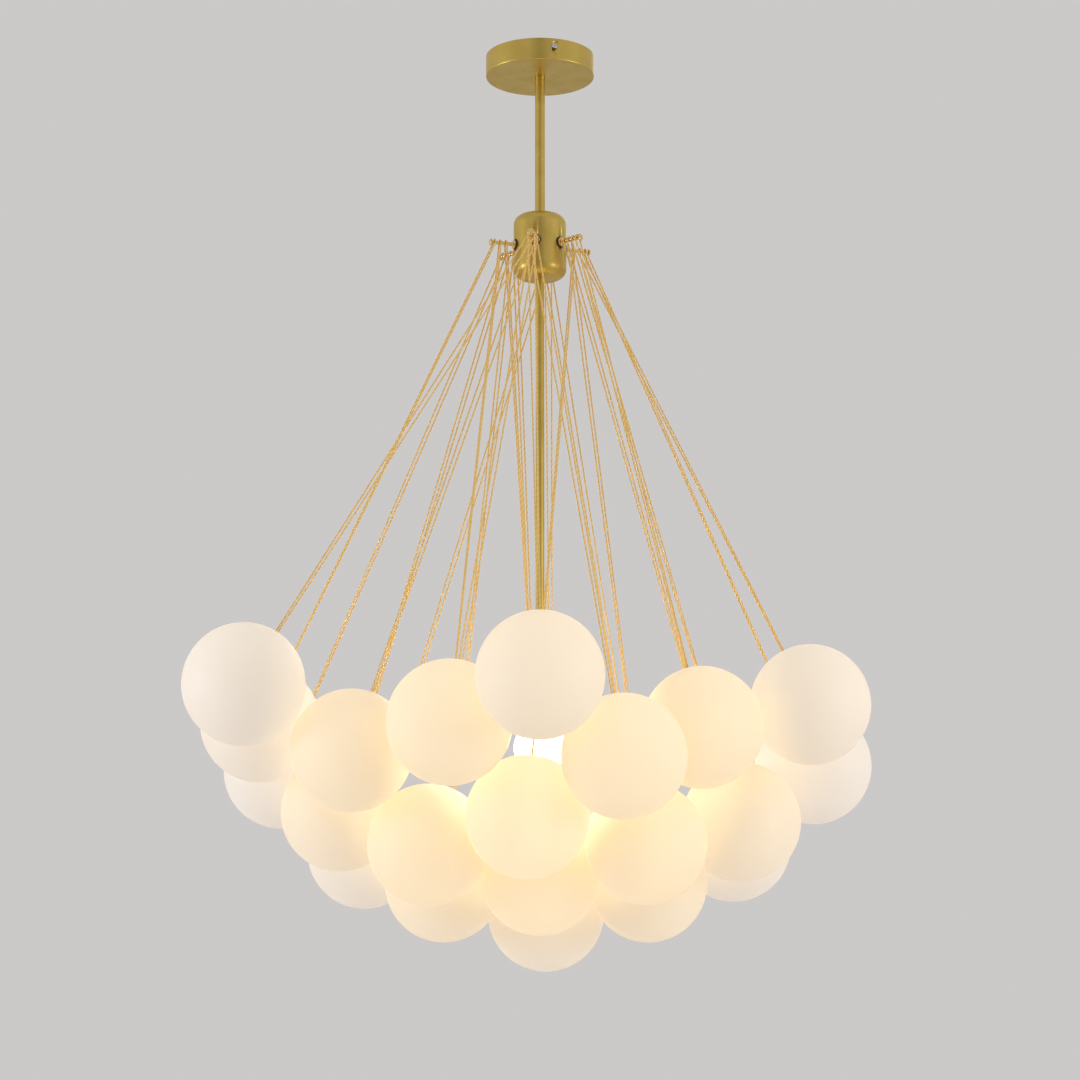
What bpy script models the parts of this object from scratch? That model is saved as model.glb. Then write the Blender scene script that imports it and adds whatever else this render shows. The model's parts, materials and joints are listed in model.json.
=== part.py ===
"""Bubble chandelier: opal glass bubbles on gold cords, hung from six hooks round a brass hub.

Run with: blender --background --python part.py
Metres, +Z up. The origin is on the ceiling, on the chandelier's axis, and the front looks along -Y.
"""
import bpy
import bmesh
from math import acos, cos, pi, radians, sin, sqrt
from mathutils import Matrix, Vector

# Fits
FIT_GAP = 0.0003            # between two pieces that touch or slide
CUT_OVERRUN = 0.002         # how far a cutter runs past the face that it opens
MERGE_DISTANCE = 0.00001
SMOOTH_ANGLE = radians(40)  # edges sharper than this stay crisp

# Ceiling plate and canopy
CANOPY_DIAMETER = 0.130
CANOPY_HEIGHT = 0.026
CANOPY_WALL = 0.0012
CANOPY_EDGE_RADIUS = 0.0015
PLATE_WIDTH = 0.024
PLATE_THICKNESS = 0.003
PLATE_TURN = radians(15)    # the plate's long way, from the front towards the right
PLATE_BOSS_DIAMETER = 0.022
PLATE_BOSS_HEIGHT = 0.010
SLOT_SPACING = 0.076        # between the middles of the two slots for the ceiling's screws
SLOT_LENGTH = 0.014
SLOT_WIDTH = 0.0055
SLOT_ROUNDING_SHARE = 0.45  # of the slot's width
SCREW_DIAMETER = 0.004
SCREW_DROP = 0.0098         # from the ceiling to the canopy screw's middle
SCREW_TO_TAB_END = 0.0082   # the plate's bent tab ends this far below the screw's middle
SCREW_REACH = 0.006         # how far the screw runs past the plate's tab
SCREW_HEAD_DIAMETER = 0.0062
SCREW_HEAD_HEIGHT = 0.0020

# Stems
UPPER_STEM_DIAMETER = 0.012
UPPER_STEM_WALL = 0.0015
UPPER_STEM_SHOWN = 0.174    # from the canopy's underside to the hub's top
LOWER_STEM_DIAMETER = 0.010
LOWER_STEM_WALL = 0.0015
LOCKNUT_ACROSS_FLATS = 0.019
LOCKNUT_HEIGHT = 0.005
WIRE_HOLE_DIAMETER = 0.005  # in the upper stem's side, inside the canopy

# Hub
HUB_DIAMETER = 0.063
HUB_HEIGHT = 0.078
HUB_EDGE_RADIUS = 0.012
HUB_SOCKET_DEPTH = 0.014    # how deep each stem goes into the hub
HUB_LEDGE = 0.001           # what the lower stem's end meets at the bottom of its socket

# Hooks, each a turned peg that the cords loop over
HOOK_TURNS = [radians(a) for a in (-10, 50, 110, 170, 230, 290)]
HOOK_SHANK_DIAMETER = 0.0045
HOOK_STUB_DIAMETER = 0.005
HOOK_STUB_LENGTH = 0.0075
HOOK_BOSS_DIAMETER = 0.011
HOOK_BOSS_LENGTH = 0.0040
HOOK_TIP_DIAMETER = 0.0085
HOOK_TIP_LENGTH = 0.0024

# Cords
CORD_DIAMETER = 0.0022
LOOP_CLEARANCE = 0.0005     # between a loop and the shank that it hangs on
LOOP_GAP = 0.0008           # between two neighbouring loops while one of them is tilted all the way
LOOP_ROOM = 1.4             # the room that a loop gets on a shank that has it, in loop steps
LEG_GAP = 0.0004            # between the two legs of a cord where they meet in the bubble's hole
LEG_RISE = 0.0025           # from the stopper's neck up to where the legs part
STOPPER_LIP = 0.0045        # how far the stopper's rim reaches past the bubble's hole
STOPPER_THICKNESS = 0.004
STOPPER_NECK = 0.002
SWING_LIMIT = radians(15)

# Bubbles
BUBBLE_DIAMETER = 0.140
BUBBLE_SPACING = 0.0024     # the least gap between two neighbours
GLASS_WALL = 0.003
HOLE_DIAMETER = 0.020

# Lamp, in the middle of the cloud of bubbles
BULB_DIAMETER = 0.060
BULB_LENGTH = 0.108
BULB_CAP_DIAMETER = 0.0262
BULB_CAP_SHOWN = 0.001      # the cap below the holder's rim
BULB_CONTACT_DIAMETER = 0.009
BULB_CONTACT_HEIGHT = 0.002
BULB_NECK_TURN = radians(50)    # where the neck leaves the globe, above the globe's middle
HOLDER_DIAMETER = 0.038
CAP_CLEARANCE = 0.0004      # between the bulb's cap and the holder's bore
HOLDER_GRIP = 0.025         # how deep the bulb sits in the holder
HOLDER_TOP = 0.032          # solid length above the bulb
HOLDER_EDGE = 0.002
HOLDER_SOCKET_DEPTH = 0.014     # how deep the lower stem goes into the holder
CUP_CLEARANCE = 0.0023      # between the holder and the cup round it
CUP_WALL = 0.0012
CUP_EDGE_RADIUS = 0.004
CUP_RECESS = 0.002          # the holder's rim shows this far below the cup

# Facets
FINE_SIDES = 24
BUBBLE_SIDES = 16
BUBBLE_OUTER_ARCS = 8
BUBBLE_INNER_ARCS = 6
STEM_SIDES = 16
SMALL_SIDES = 8
ARC_STEPS = 4
SLOT_CORNER_STEPS = 3
LOOP_STEPS = 8

# Where the bubbles hang, as shares of the pitch (one bubble and one gap): to the right of the axis, behind
# it, and below the hooks. Then come the hook that carries it, counted from 0, and the way in degrees, from
# the front towards the right, in which it can be swung clear of its neighbours. None is for a bubble that
# they hem in, which only turns on its cord.
LAMP_DROP_SHARE = 4.22
BUBBLE_SHARES = (
    (-2.35, -0.60, 3.80, 0, -85),
    (-2.30, 0.40, 3.95, 5, -100),
    (-2.20, 1.45, 4.20, 4, -125),
    (-1.50, -0.40, 4.30, 0, None),
    (-0.70, -1.20, 4.20, 5, None),
    (0.00, -1.90, 3.95, 0, 0),
    (0.65, -1.10, 4.45, 0, 28),
    (1.30, -0.30, 4.10, 1, 28),
    (2.20, 0.10, 3.85, 2, 60),
    (2.30, 1.15, 4.20, 2, 115),
    (1.65, 0.55, 4.75, 1, None),
    (1.65, 1.65, 4.80, 1, 150),
    (-0.10, -0.55, 4.85, 2, None),
    (-0.90, 0.05, 5.00, 0, None),
    (-1.65, 0.70, 4.65, 4, None),
    (0.10, 2.25, 4.65, 3, 180),
    (-1.50, 1.75, 4.85, 3, -170),
    (-0.80, 1.05, 5.20, 4, None),
    (0.00, 0.45, 5.20, 4, None),
    (0.85, -0.05, 5.00, 1, None),
    (0.90, 1.05, 5.20, 3, None),
    (0.05, 1.55, 5.40, 5, None),
)

# Sizes that follow
PITCH = BUBBLE_DIAMETER + BUBBLE_SPACING
PLATE_TAB_HEIGHT = SCREW_DROP + SCREW_TO_TAB_END
PLATE_BOSS_BOTTOM = -PLATE_THICKNESS - PLATE_BOSS_HEIGHT
LOCKNUT_TOP = PLATE_BOSS_BOTTOM - FIT_GAP
LOCKNUT_BOTTOM = LOCKNUT_TOP - LOCKNUT_HEIGHT
CANOPY_FLOOR = -CANOPY_HEIGHT + CANOPY_WALL
HUB_WIRE_BORE = LOWER_STEM_DIAMETER - 2 * HUB_LEDGE
STOPPER_DIAMETER = HOLE_DIAMETER + 2 * STOPPER_LIP
HOLDER_BORE = BULB_CAP_DIAMETER + 2 * CAP_CLEARANCE
BULB_CAP_LENGTH = HOLDER_GRIP + BULB_CAP_SHOWN
CUP_DIAMETER = HOLDER_DIAMETER + 2 * (CUP_CLEARANCE + CUP_WALL)
HUB_TOP = -CANOPY_HEIGHT - UPPER_STEM_SHOWN
HUB_BOTTOM = HUB_TOP - HUB_HEIGHT
HOOK_HEIGHT = (HUB_TOP + HUB_BOTTOM) / 2
LOOP_RADIUS = HOOK_SHANK_DIAMETER / 2 + LOOP_CLEARANCE + CORD_DIAMETER / 2
LOOP_STEP = CORD_DIAMETER + 2 * LOOP_RADIUS * sin(SWING_LIMIT) + LOOP_GAP
MOST_LOOPS = max(sum(1 for place in BUBBLE_SHARES if place[3] == hook) for hook in range(len(HOOK_TURNS)))
SHANK_START = HUB_DIAMETER / 2 + FIT_GAP + HOOK_BOSS_LENGTH
SHANK_END = SHANK_START + MOST_LOOPS * LOOP_STEP
GLOBE_HEIGHT = HOOK_HEIGHT - LAMP_DROP_SHARE * PITCH
BULB_TOP = GLOBE_HEIGHT - BULB_DIAMETER / 2 + BULB_LENGTH
HOLDER_BOTTOM = BULB_TOP - HOLDER_GRIP
HOLDER_HEIGHT = BULB_TOP + FIT_GAP + HOLDER_TOP
CUP_TOP = HOLDER_HEIGHT + FIT_GAP + CUP_WALL
CUP_BOTTOM = HOLDER_BOTTOM + CUP_RECESS


def clear_scene():
    for thing in list(bpy.data.objects):
        bpy.data.objects.remove(thing, do_unlink=True)


def material(name, colour, roughness, metallic=0.0):
    """A plain finish in the piece's own colour."""
    finish = bpy.data.materials.new(name)
    finish.use_nodes = True
    shader = finish.node_tree.nodes["Principled BSDF"]
    shader.inputs["Base Color"].default_value = (*colour, 1.0)
    shader.inputs["Roughness"].default_value = roughness
    shader.inputs["Metallic"].default_value = metallic
    return finish


def add_mesh(name, bm, finish, smooth=True):
    """Closes the bmesh, turns its faces outwards and links it as a named object."""
    bmesh.ops.recalc_face_normals(bm, faces=bm.faces)
    mesh = bpy.data.meshes.new(name)
    bm.to_mesh(mesh)
    bm.free()
    if smooth:
        mesh.shade_smooth()
        mesh.set_sharp_from_angle(angle=SMOOTH_ANGLE)
    mesh.materials.append(finish)
    return add_object(name, mesh)


def add_object(name, data):
    """Links an object, or an empty where there is no data."""
    thing = bpy.data.objects.new(name, data)
    bpy.context.collection.objects.link(thing)
    return thing


def arc(centre, radius, start, end, steps):
    """Points of an arc in the (radius, height) half plane, from one angle to another."""
    points = []
    for step in range(steps + 1):
        angle = start + (end - start) * step / steps
        points.append((centre[0] + radius * cos(angle), centre[1] + radius * sin(angle)))
    return points


def turned_bmesh(profile, sides, closed):
    """Spins a profile of (radius, height) points about Z. A closed profile makes a ring with a bore."""
    bm = bmesh.new()
    corners = [bm.verts.new((r, 0.0, z)) for r, z in profile]
    edges = [bm.edges.new(pair) for pair in zip(corners, corners[1:])]
    if closed:
        edges.append(bm.edges.new((corners[-1], corners[0])))
    bmesh.ops.spin(bm, geom=corners + edges, cent=(0, 0, 0), axis=(0, 0, 1), angle=2 * pi, steps=sides,
                   use_merge=True, use_duplicate=False)
    bmesh.ops.remove_doubles(bm, verts=bm.verts, dist=MERGE_DISTANCE)
    return bm


def turned(name, profile, finish, sides=FINE_SIDES, closed=False):
    return add_mesh(name, turned_bmesh(profile, sides, closed), finish)


def cylinder_bmesh(radius, depth, sides, place):
    """A cylinder along its own Z, set by a matrix at its middle."""
    bm = bmesh.new()
    bmesh.ops.create_cone(bm, cap_ends=True, segments=sides, radius1=radius, radius2=radius, depth=depth,
                          matrix=place)
    return bm


def upright_cylinder(radius, low, high, sides):
    """A cylinder on the axis between two heights."""
    return cylinder_bmesh(radius, high - low, sides, Matrix.Translation((0, 0, (low + high) / 2)))


def cut(piece, bm, name):
    """Takes a helper solid out of a piece."""
    apply_solid(piece, bm, name, "DIFFERENCE")


def join(piece, bm, name):
    """Welds a helper solid to a piece."""
    apply_solid(piece, bm, name, "UNION")


def apply_solid(piece, bm, name, operation):
    helper = add_mesh(name, bm, piece.data.materials[0], smooth=False)
    helper.hide_render = True
    helper.display_type = "WIRE"
    change = piece.modifiers.new(name, "BOOLEAN")
    change.operation = operation
    change.solver = "EXACT"
    change.object = helper


def heading(turn):
    """The level direction at an angle from the front (-Y) towards the right (+X)."""
    return Vector((sin(turn), -cos(turn), 0.0))


def along(direction, place):
    """A matrix whose Z runs along a direction, at a place."""
    return Matrix.Translation(place) @ direction.to_track_quat("Z", "Y").to_matrix().to_4x4()


# Ceiling plate: a bar on the ceiling with a threaded boss for the stem, and a tab at each end for the canopy
def plate_reach():
    """How far the tabs stand from the axis, so that their corners clear the flats of the canopy's wall."""
    inside = (CANOPY_DIAMETER / 2 - CANOPY_WALL) * cos(pi / FINE_SIDES) - FIT_GAP
    return sqrt(inside ** 2 - (PLATE_WIDTH / 2) ** 2)


def make_ceiling_plate(steel):
    reach = plate_reach()
    inner = reach - PLATE_THICKNESS
    outline = [(-reach, 0.0), (reach, 0.0), (reach, -PLATE_TAB_HEIGHT), (inner, -PLATE_TAB_HEIGHT),
               (inner, -PLATE_THICKNESS), (-inner, -PLATE_THICKNESS), (-inner, -PLATE_TAB_HEIGHT),
               (-reach, -PLATE_TAB_HEIGHT)]
    turn = Matrix.Rotation(PLATE_TURN - pi / 2, 4, "Z")
    bm = bmesh.new()
    side = bm.faces.new([bm.verts.new((s, -PLATE_WIDTH / 2, z)) for s, z in outline])
    grown = bmesh.ops.extrude_face_region(bm, geom=[side])
    far_corners = [v for v in grown["geom"] if isinstance(v, bmesh.types.BMVert)]
    bmesh.ops.translate(bm, vec=(0, PLATE_WIDTH, 0), verts=far_corners)
    bmesh.ops.transform(bm, matrix=turn, verts=bm.verts)
    plate = add_mesh("ceiling_plate", bm, steel, smooth=False)
    join(plate, upright_cylinder(PLATE_BOSS_DIAMETER / 2, PLATE_BOSS_BOTTOM, -PLATE_THICKNESS / 2, FINE_SIDES),
         "plate_boss")
    cut(plate, upright_cylinder(UPPER_STEM_DIAMETER / 2 + FIT_GAP, PLATE_BOSS_BOTTOM - CUT_OVERRUN,
                                -PLATE_THICKNESS - FIT_GAP, STEM_SIDES), "plate_socket")
    for number, way in enumerate((1, -1), 1):
        slot = bmesh.new()
        bmesh.ops.create_cube(slot, size=1.0)
        slot_size = (SLOT_LENGTH, SLOT_WIDTH, PLATE_THICKNESS + 2 * CUT_OVERRUN)
        bmesh.ops.scale(slot, vec=slot_size, verts=slot.verts)
        upright = [e for e in slot.edges if abs(e.verts[0].co.z - e.verts[1].co.z) > PLATE_THICKNESS]
        bmesh.ops.bevel(slot, geom=upright, offset=SLOT_WIDTH * SLOT_ROUNDING_SHARE, segments=SLOT_CORNER_STEPS,
                        affect="EDGES", profile=0.5)
        bmesh.ops.translate(slot, vec=(way * SLOT_SPACING / 2, 0, -PLATE_THICKNESS / 2), verts=slot.verts)
        bmesh.ops.transform(slot, matrix=turn, verts=slot.verts)
        cut(plate, slot, f"plate_slot_{number}")
        place = heading(PLATE_TURN) * way * (reach - PLATE_THICKNESS / 2) - Vector((0, 0, SCREW_DROP))
        hole = cylinder_bmesh(SCREW_DIAMETER / 2 + FIT_GAP, PLATE_THICKNESS + 2 * CUT_OVERRUN, SMALL_SIDES,
                              along(heading(PLATE_TURN), place))
        cut(plate, hole, f"plate_screw_hole_{number}")


def make_canopy(brass):
    """A shallow cup, open towards the ceiling, with a hole for the stem and one for each side screw."""
    radius = CANOPY_DIAMETER / 2
    inside = radius - CANOPY_WALL
    hole = UPPER_STEM_DIAMETER / 2 + FIT_GAP
    corner = (radius - CANOPY_EDGE_RADIUS, -CANOPY_HEIGHT + CANOPY_EDGE_RADIUS)
    profile = [(hole, -CANOPY_HEIGHT)]
    profile += arc(corner, CANOPY_EDGE_RADIUS, -pi / 2, 0, ARC_STEPS)
    profile += [(radius, 0.0), (inside, 0.0), (inside, CANOPY_FLOOR), (hole, CANOPY_FLOOR)]
    canopy = turned("canopy", profile, brass, closed=True)
    for number, way in enumerate((1, -1), 1):
        place = heading(PLATE_TURN) * way * (radius - CANOPY_WALL / 2) - Vector((0, 0, SCREW_DROP))
        hole = cylinder_bmesh(SCREW_DIAMETER / 2 + FIT_GAP, CANOPY_WALL + 2 * CUT_OVERRUN, SMALL_SIDES,
                              along(heading(PLATE_TURN), place))
        cut(canopy, hole, f"canopy_screw_hole_{number}")


def make_canopy_screw(steel):
    """The front side screw, from its head outside the canopy to past the plate's tab."""
    head_start = CANOPY_DIAMETER / 2 + FIT_GAP
    end = plate_reach() - PLATE_THICKNESS - SCREW_REACH
    dome = SCREW_HEAD_HEIGHT / 2
    profile = [(0.0, end), (SCREW_DIAMETER / 2, end), (SCREW_DIAMETER / 2, head_start),
               (SCREW_HEAD_DIAMETER / 2, head_start), (SCREW_HEAD_DIAMETER / 2, head_start + dome),
               (SCREW_HEAD_DIAMETER / 2 - dome, head_start + SCREW_HEAD_HEIGHT),
               (0.0, head_start + SCREW_HEAD_HEIGHT)]
    screw = turned("canopy_screw", profile, steel, sides=SMALL_SIDES)
    screw.matrix_world = along(heading(PLATE_TURN), Vector((0, 0, -SCREW_DROP)))


def make_tube(name, diameter, wall, low, high, finish):
    """A stem: a tube between two heights on the axis."""
    outer = diameter / 2
    bore = outer - wall
    profile = [(outer, low), (outer, high), (bore, high), (bore, low)]
    return turned(name, profile, finish, sides=STEM_SIDES, closed=True)


def make_stems(brass):
    upper_high = -PLATE_THICKNESS - 2 * FIT_GAP
    upper_low = HUB_TOP - HUB_SOCKET_DEPTH + FIT_GAP
    upper = make_tube("upper_stem", UPPER_STEM_DIAMETER, UPPER_STEM_WALL, upper_low, upper_high, brass)
    hole_height = (LOCKNUT_BOTTOM + CANOPY_FLOOR) / 2
    hole_reach = UPPER_STEM_DIAMETER / 2 + CUT_OVERRUN
    way = heading(PLATE_TURN + pi / 2)
    place = way * hole_reach / 2 + Vector((0, 0, hole_height))
    cut(upper, cylinder_bmesh(WIRE_HOLE_DIAMETER / 2, hole_reach, SMALL_SIDES, along(way, place)), "wire_hole")
    lower_high = HUB_BOTTOM + HUB_SOCKET_DEPTH - FIT_GAP
    lower_low = HOLDER_HEIGHT - HOLDER_SOCKET_DEPTH + FIT_GAP
    make_tube("lower_stem", LOWER_STEM_DIAMETER, LOWER_STEM_WALL, lower_low, lower_high, brass)


def make_locknut(steel):
    """The hexagon nut that jams the stem in the plate's boss."""
    corner = LOCKNUT_ACROSS_FLATS / 2 / cos(pi / 6)
    hexagon = upright_cylinder(corner, LOCKNUT_BOTTOM, LOCKNUT_TOP, 6)
    nut = add_mesh("stem_locknut", hexagon, steel, smooth=False)
    cut(nut, upright_cylinder(UPPER_STEM_DIAMETER / 2 + FIT_GAP, LOCKNUT_BOTTOM - CUT_OVERRUN,
                              LOCKNUT_TOP + CUT_OVERRUN, STEM_SIDES), "locknut_bore")


def make_hub(brass):
    """A turned block with round edges, a socket for each stem, a wire bore, and six holes for the hooks."""
    edge = HUB_EDGE_RADIUS
    side = HUB_DIAMETER / 2
    upper = UPPER_STEM_DIAMETER / 2 + FIT_GAP
    lower = LOWER_STEM_DIAMETER / 2 + FIT_GAP
    wire = HUB_WIRE_BORE / 2
    upper_seat = HUB_TOP - HUB_SOCKET_DEPTH
    lower_seat = HUB_BOTTOM + HUB_SOCKET_DEPTH
    profile = [(lower, HUB_BOTTOM)]
    profile += arc((side - edge, HUB_BOTTOM + edge), edge, -pi / 2, 0, ARC_STEPS)
    profile += arc((side - edge, HUB_TOP - edge), edge, 0, pi / 2, ARC_STEPS)
    profile += [(upper, HUB_TOP), (upper, upper_seat), (wire, upper_seat), (wire, lower_seat),
                (lower, lower_seat)]
    hub = turned("hub_body", profile, brass, closed=True)
    depth = HOOK_STUB_LENGTH + FIT_GAP + CUT_OVERRUN
    for number, turn in enumerate(HOOK_TURNS, 1):
        middle = side + CUT_OVERRUN - depth / 2
        place = heading(turn) * middle + Vector((0, 0, HOOK_HEIGHT))
        hole = cylinder_bmesh(HOOK_STUB_DIAMETER / 2 + FIT_GAP, depth, SMALL_SIDES, along(heading(turn), place))
        cut(hub, hole, f"hook_hole_{number}")


def make_hooks(gold):
    """Six pegs: a stub in the hub, a boss against its wall, a shank for the loops and a round tip."""
    wall = HUB_DIAMETER / 2
    stub = HOOK_STUB_DIAMETER / 2
    boss = HOOK_BOSS_DIAMETER / 2
    shank = HOOK_SHANK_DIAMETER / 2
    tip = HOOK_TIP_DIAMETER / 2
    round_tip = HOOK_TIP_LENGTH / 2
    profile = [(0.0, wall - HOOK_STUB_LENGTH), (stub, wall - HOOK_STUB_LENGTH), (stub, wall + FIT_GAP),
               (boss, wall + FIT_GAP), (boss, SHANK_START - HOOK_BOSS_LENGTH / 2), (shank, SHANK_START),
               (shank, SHANK_END)]
    profile += arc((tip - round_tip, SHANK_END + round_tip), round_tip, -pi / 2, pi / 2, ARC_STEPS)
    profile += [(0.0, SHANK_END + HOOK_TIP_LENGTH)]
    for number, turn in enumerate(HOOK_TURNS, 1):
        hook = turned(f"cord_hook_{number}", profile, gold, sides=SMALL_SIDES)
        hook.matrix_world = along(heading(turn), Vector((0, 0, HOOK_HEIGHT)))


def make_lamp(brass, plastic, glass):
    """The cup and holder at the stem's end, and the bulb, globe down."""
    stem = LOWER_STEM_DIAMETER / 2 + FIT_GAP
    radius = CUP_DIAMETER / 2
    edge = (radius - CUP_EDGE_RADIUS, CUP_TOP - CUP_EDGE_RADIUS)
    profile = [(stem, CUP_TOP)]
    profile += arc(edge, CUP_EDGE_RADIUS, pi / 2, 0, ARC_STEPS)
    profile += [(radius, CUP_BOTTOM), (radius - CUP_WALL, CUP_BOTTOM)]
    profile += arc(edge, CUP_EDGE_RADIUS - CUP_WALL, 0, pi / 2, ARC_STEPS)
    profile += [(stem, CUP_TOP - CUP_WALL)]
    turned("lamp_cup", profile, brass, closed=True)

    outer = HOLDER_DIAMETER / 2
    bore = HOLDER_BORE / 2
    bore_end = BULB_TOP + FIT_GAP
    socket_end = HOLDER_HEIGHT - HOLDER_SOCKET_DEPTH
    wire = LOWER_STEM_DIAMETER / 2 - LOWER_STEM_WALL
    rim = outer - HOLDER_EDGE
    profile = [(stem, HOLDER_HEIGHT), (rim, HOLDER_HEIGHT), (outer, HOLDER_HEIGHT - HOLDER_EDGE),
               (outer, HOLDER_BOTTOM + HOLDER_EDGE), (rim, HOLDER_BOTTOM), (bore, HOLDER_BOTTOM),
               (bore, bore_end), (wire, bore_end), (wire, socket_end), (stem, socket_end)]
    turned("lampholder", profile, plastic, closed=True)

    cap = BULB_CAP_DIAMETER / 2
    contact = BULB_CONTACT_DIAMETER / 2
    globe = BULB_DIAMETER / 2
    cap_end = BULB_TOP - BULB_CAP_LENGTH
    shoulder = BULB_TOP - BULB_CONTACT_HEIGHT
    profile = arc((0.0, GLOBE_HEIGHT), globe, -pi / 2, BULB_NECK_TURN, 3 * ARC_STEPS)
    profile[0] = (0.0, profile[0][1])
    profile += [(cap, cap_end), (cap, shoulder), (contact, shoulder), (contact, BULB_TOP), (0.0, BULB_TOP)]
    turned("bulb", profile, glass, sides=STEM_SIDES)


# Bubbles and cords
def bubble_inner_profile():
    """The inside of the glass, from the hole's lower edge to the bottom, in the bubble's own frame."""
    inside = BUBBLE_DIAMETER / 2 - GLASS_WALL
    edge = acos(HOLE_DIAMETER / 2 / inside)
    points = arc((0.0, 0.0), inside, edge, -pi / 2, BUBBLE_INNER_ARCS)
    points[-1] = (0.0, -inside)
    return points


def bubble_bmesh():
    """A hollow glass bubble, its hole at the top of its own Z."""
    outside = BUBBLE_DIAMETER / 2
    edge = acos(HOLE_DIAMETER / 2 / outside)
    profile = arc((0.0, 0.0), outside, -pi / 2, edge, BUBBLE_OUTER_ARCS)
    profile[0] = (0.0, -outside)
    profile += bubble_inner_profile()
    return turned_bmesh(profile, BUBBLE_SIDES, closed=False)


def stopper_seat():
    """The height in the bubble's frame at which the stopper's rim meets the glass under the hole."""
    (r0, z0), (r1, z1) = bubble_inner_profile()[:2]
    reach = STOPPER_DIAMETER / 2 / cos(pi / BUBBLE_SIDES)
    return z0 + (z1 - z0) * (reach - r0) / (r1 - r0) - FIT_GAP


def hang_places():
    """For each bubble: its middle, and the point on its hook's shank that its cord loops over."""
    middles = []
    for right, back, down, _, _ in BUBBLE_SHARES:
        middles.append(Vector((right * PITCH, back * PITCH, HOOK_HEIGHT - down * PITCH)))
    loops = [None] * len(middles)
    for hook, turn in enumerate(HOOK_TURNS):
        carried = [k for k, place in enumerate(BUBBLE_SHARES) if place[3] == hook]
        carried.sort(key=lambda k: -middles[k].dot(heading(turn)))
        room = min(LOOP_ROOM * LOOP_STEP, (SHANK_END - SHANK_START) / len(carried))
        for order, k in enumerate(carried):
            reach = SHANK_END - (order + 0.5) * room
            loops[k] = heading(turn) * reach + Vector((0, 0, HOOK_HEIGHT))
    return middles, loops


def make_cord(name, frame, length, turn, finish):
    """A taut cord as one tube: the stopper inside the bubble, one leg up to the shank, the half turn over it in
    the plane that is square to the shank, and the other leg back down to the bubble's hole."""
    cord = bpy.data.curves.new(name, "CURVE")
    cord.dimensions = "3D"
    cord.bevel_depth = CORD_DIAMETER / 2
    cord.bevel_resolution = 2
    cord.use_fill_caps = True
    cord.resolution_u = 1
    cord.render_resolution_u = 0
    seat = stopper_seat() - length
    neck = seat + STOPPER_NECK
    wide = STOPPER_DIAMETER / CORD_DIAMETER
    home = frame.inverted()
    shank = heading(turn)
    way = frame.to_3x3() @ Vector((0, 0, 1))
    up = (way - way.dot(shank) * shank).normalized()
    side = shank.cross(up)
    foot = (home.to_3x3() @ side) * (CORD_DIAMETER + LEG_GAP) / 2
    part_height = Vector((0, 0, neck + LEG_RISE))
    points = [((0, 0, seat - STOPPER_THICKNESS), wide), ((0, 0, seat), wide), ((0, 0, neck), 1.0),
              (part_height + foot, 1.0)]
    for step in range(LOOP_STEPS + 1):
        angle = pi * step / LOOP_STEPS
        points.append((home.to_3x3() @ (LOOP_RADIUS * (cos(angle) * side + sin(angle) * up)), 1.0))
    points.append((part_height - foot, 1.0))
    run = cord.splines.new("POLY")
    run.points.add(len(points) - 1)
    for point, (place, radius) in zip(run.points, points):
        point.co = (*place, 1.0)
        point.radius = radius
    cord.materials.append(finish)
    return add_object(name, cord)


def hang_on(thing, parent, parent_world):
    """Parents a thing that is already placed in the world, and keeps it there."""
    thing.parent = parent
    thing.matrix_parent_inverse = parent_world.inverted()


def make_bubbles(opal, thread):
    """Hangs each bubble from its hook. Its hang empty sits at the loop with Z up the cord, the axis that it
    turns about. Where it can swing, a swing empty holds that one, and its X is the axis of the swing."""
    middles, loops = hang_places()
    first = add_mesh("bubble_01", bubble_bmesh(), opal)
    for number, (middle, loop, place) in enumerate(zip(middles, loops, BUBBLE_SHARES), 1):
        hook, swing = place[3:]
        frame = along(loop - middle, loop)
        length = (loop - middle).length
        hang = add_object(f"hang_{number:02d}", None)
        hang.matrix_world = frame
        if swing is not None:
            pivot = add_object(f"swing_{number:02d}", None)
            level = Matrix.Translation(loop) @ Matrix.Rotation(radians(swing) + pi, 4, "Z")
            pivot.matrix_world = level
            hang_on(hang, pivot, level)
        bubble = first if number == 1 else add_object(f"bubble_{number:02d}", first.data)
        bubble.parent = hang
        bubble.location = (0, 0, -length)
        cord = make_cord(f"cord_{number:02d}", frame, length, HOOK_TURNS[hook], thread)
        cord.parent = hang


def main():
    clear_scene()
    brass = material("satin_brass", (0.55, 0.42, 0.16), 0.35, 1.0)
    gold = material("polished_gold", (0.75, 0.55, 0.20), 0.15, 1.0)
    steel = material("plated_steel", (0.62, 0.64, 0.66), 0.30, 1.0)
    plastic = material("holder_plastic", (0.90, 0.89, 0.86), 0.40)
    lamp_glass = material("lamp_glass", (1.0, 0.95, 0.85), 0.25)
    opal = material("opal_glass", (0.93, 0.90, 0.86), 0.35)
    thread = material("gold_cord", (0.85, 0.55, 0.16), 0.60)
    make_ceiling_plate(steel)
    make_canopy(brass)
    make_canopy_screw(steel)
    make_locknut(steel)
    make_stems(brass)
    make_hub(brass)
    make_hooks(gold)
    make_lamp(brass, plastic, lamp_glass)
    make_bubbles(opal, thread)
    bpy.context.view_layer.update()


main()
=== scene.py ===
# %% [markdown]
# # A bubble chandelier
#
# Twenty-two hollow opal bubbles hang on gold cords from six brass pegs, and crowd round one lamp at the end of
# a stem. The engineered solids give every place and size. This lesson gives each piece the surface that a hand
# and an eye expect: turned metal, laid cord, frosted glass with light in it.
#
# The frame comes first. Its solids are kept, and their boxes give the sizes below.

# %% Load the frame
import json
from math import acos, cos, pi, radians, sin

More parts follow.
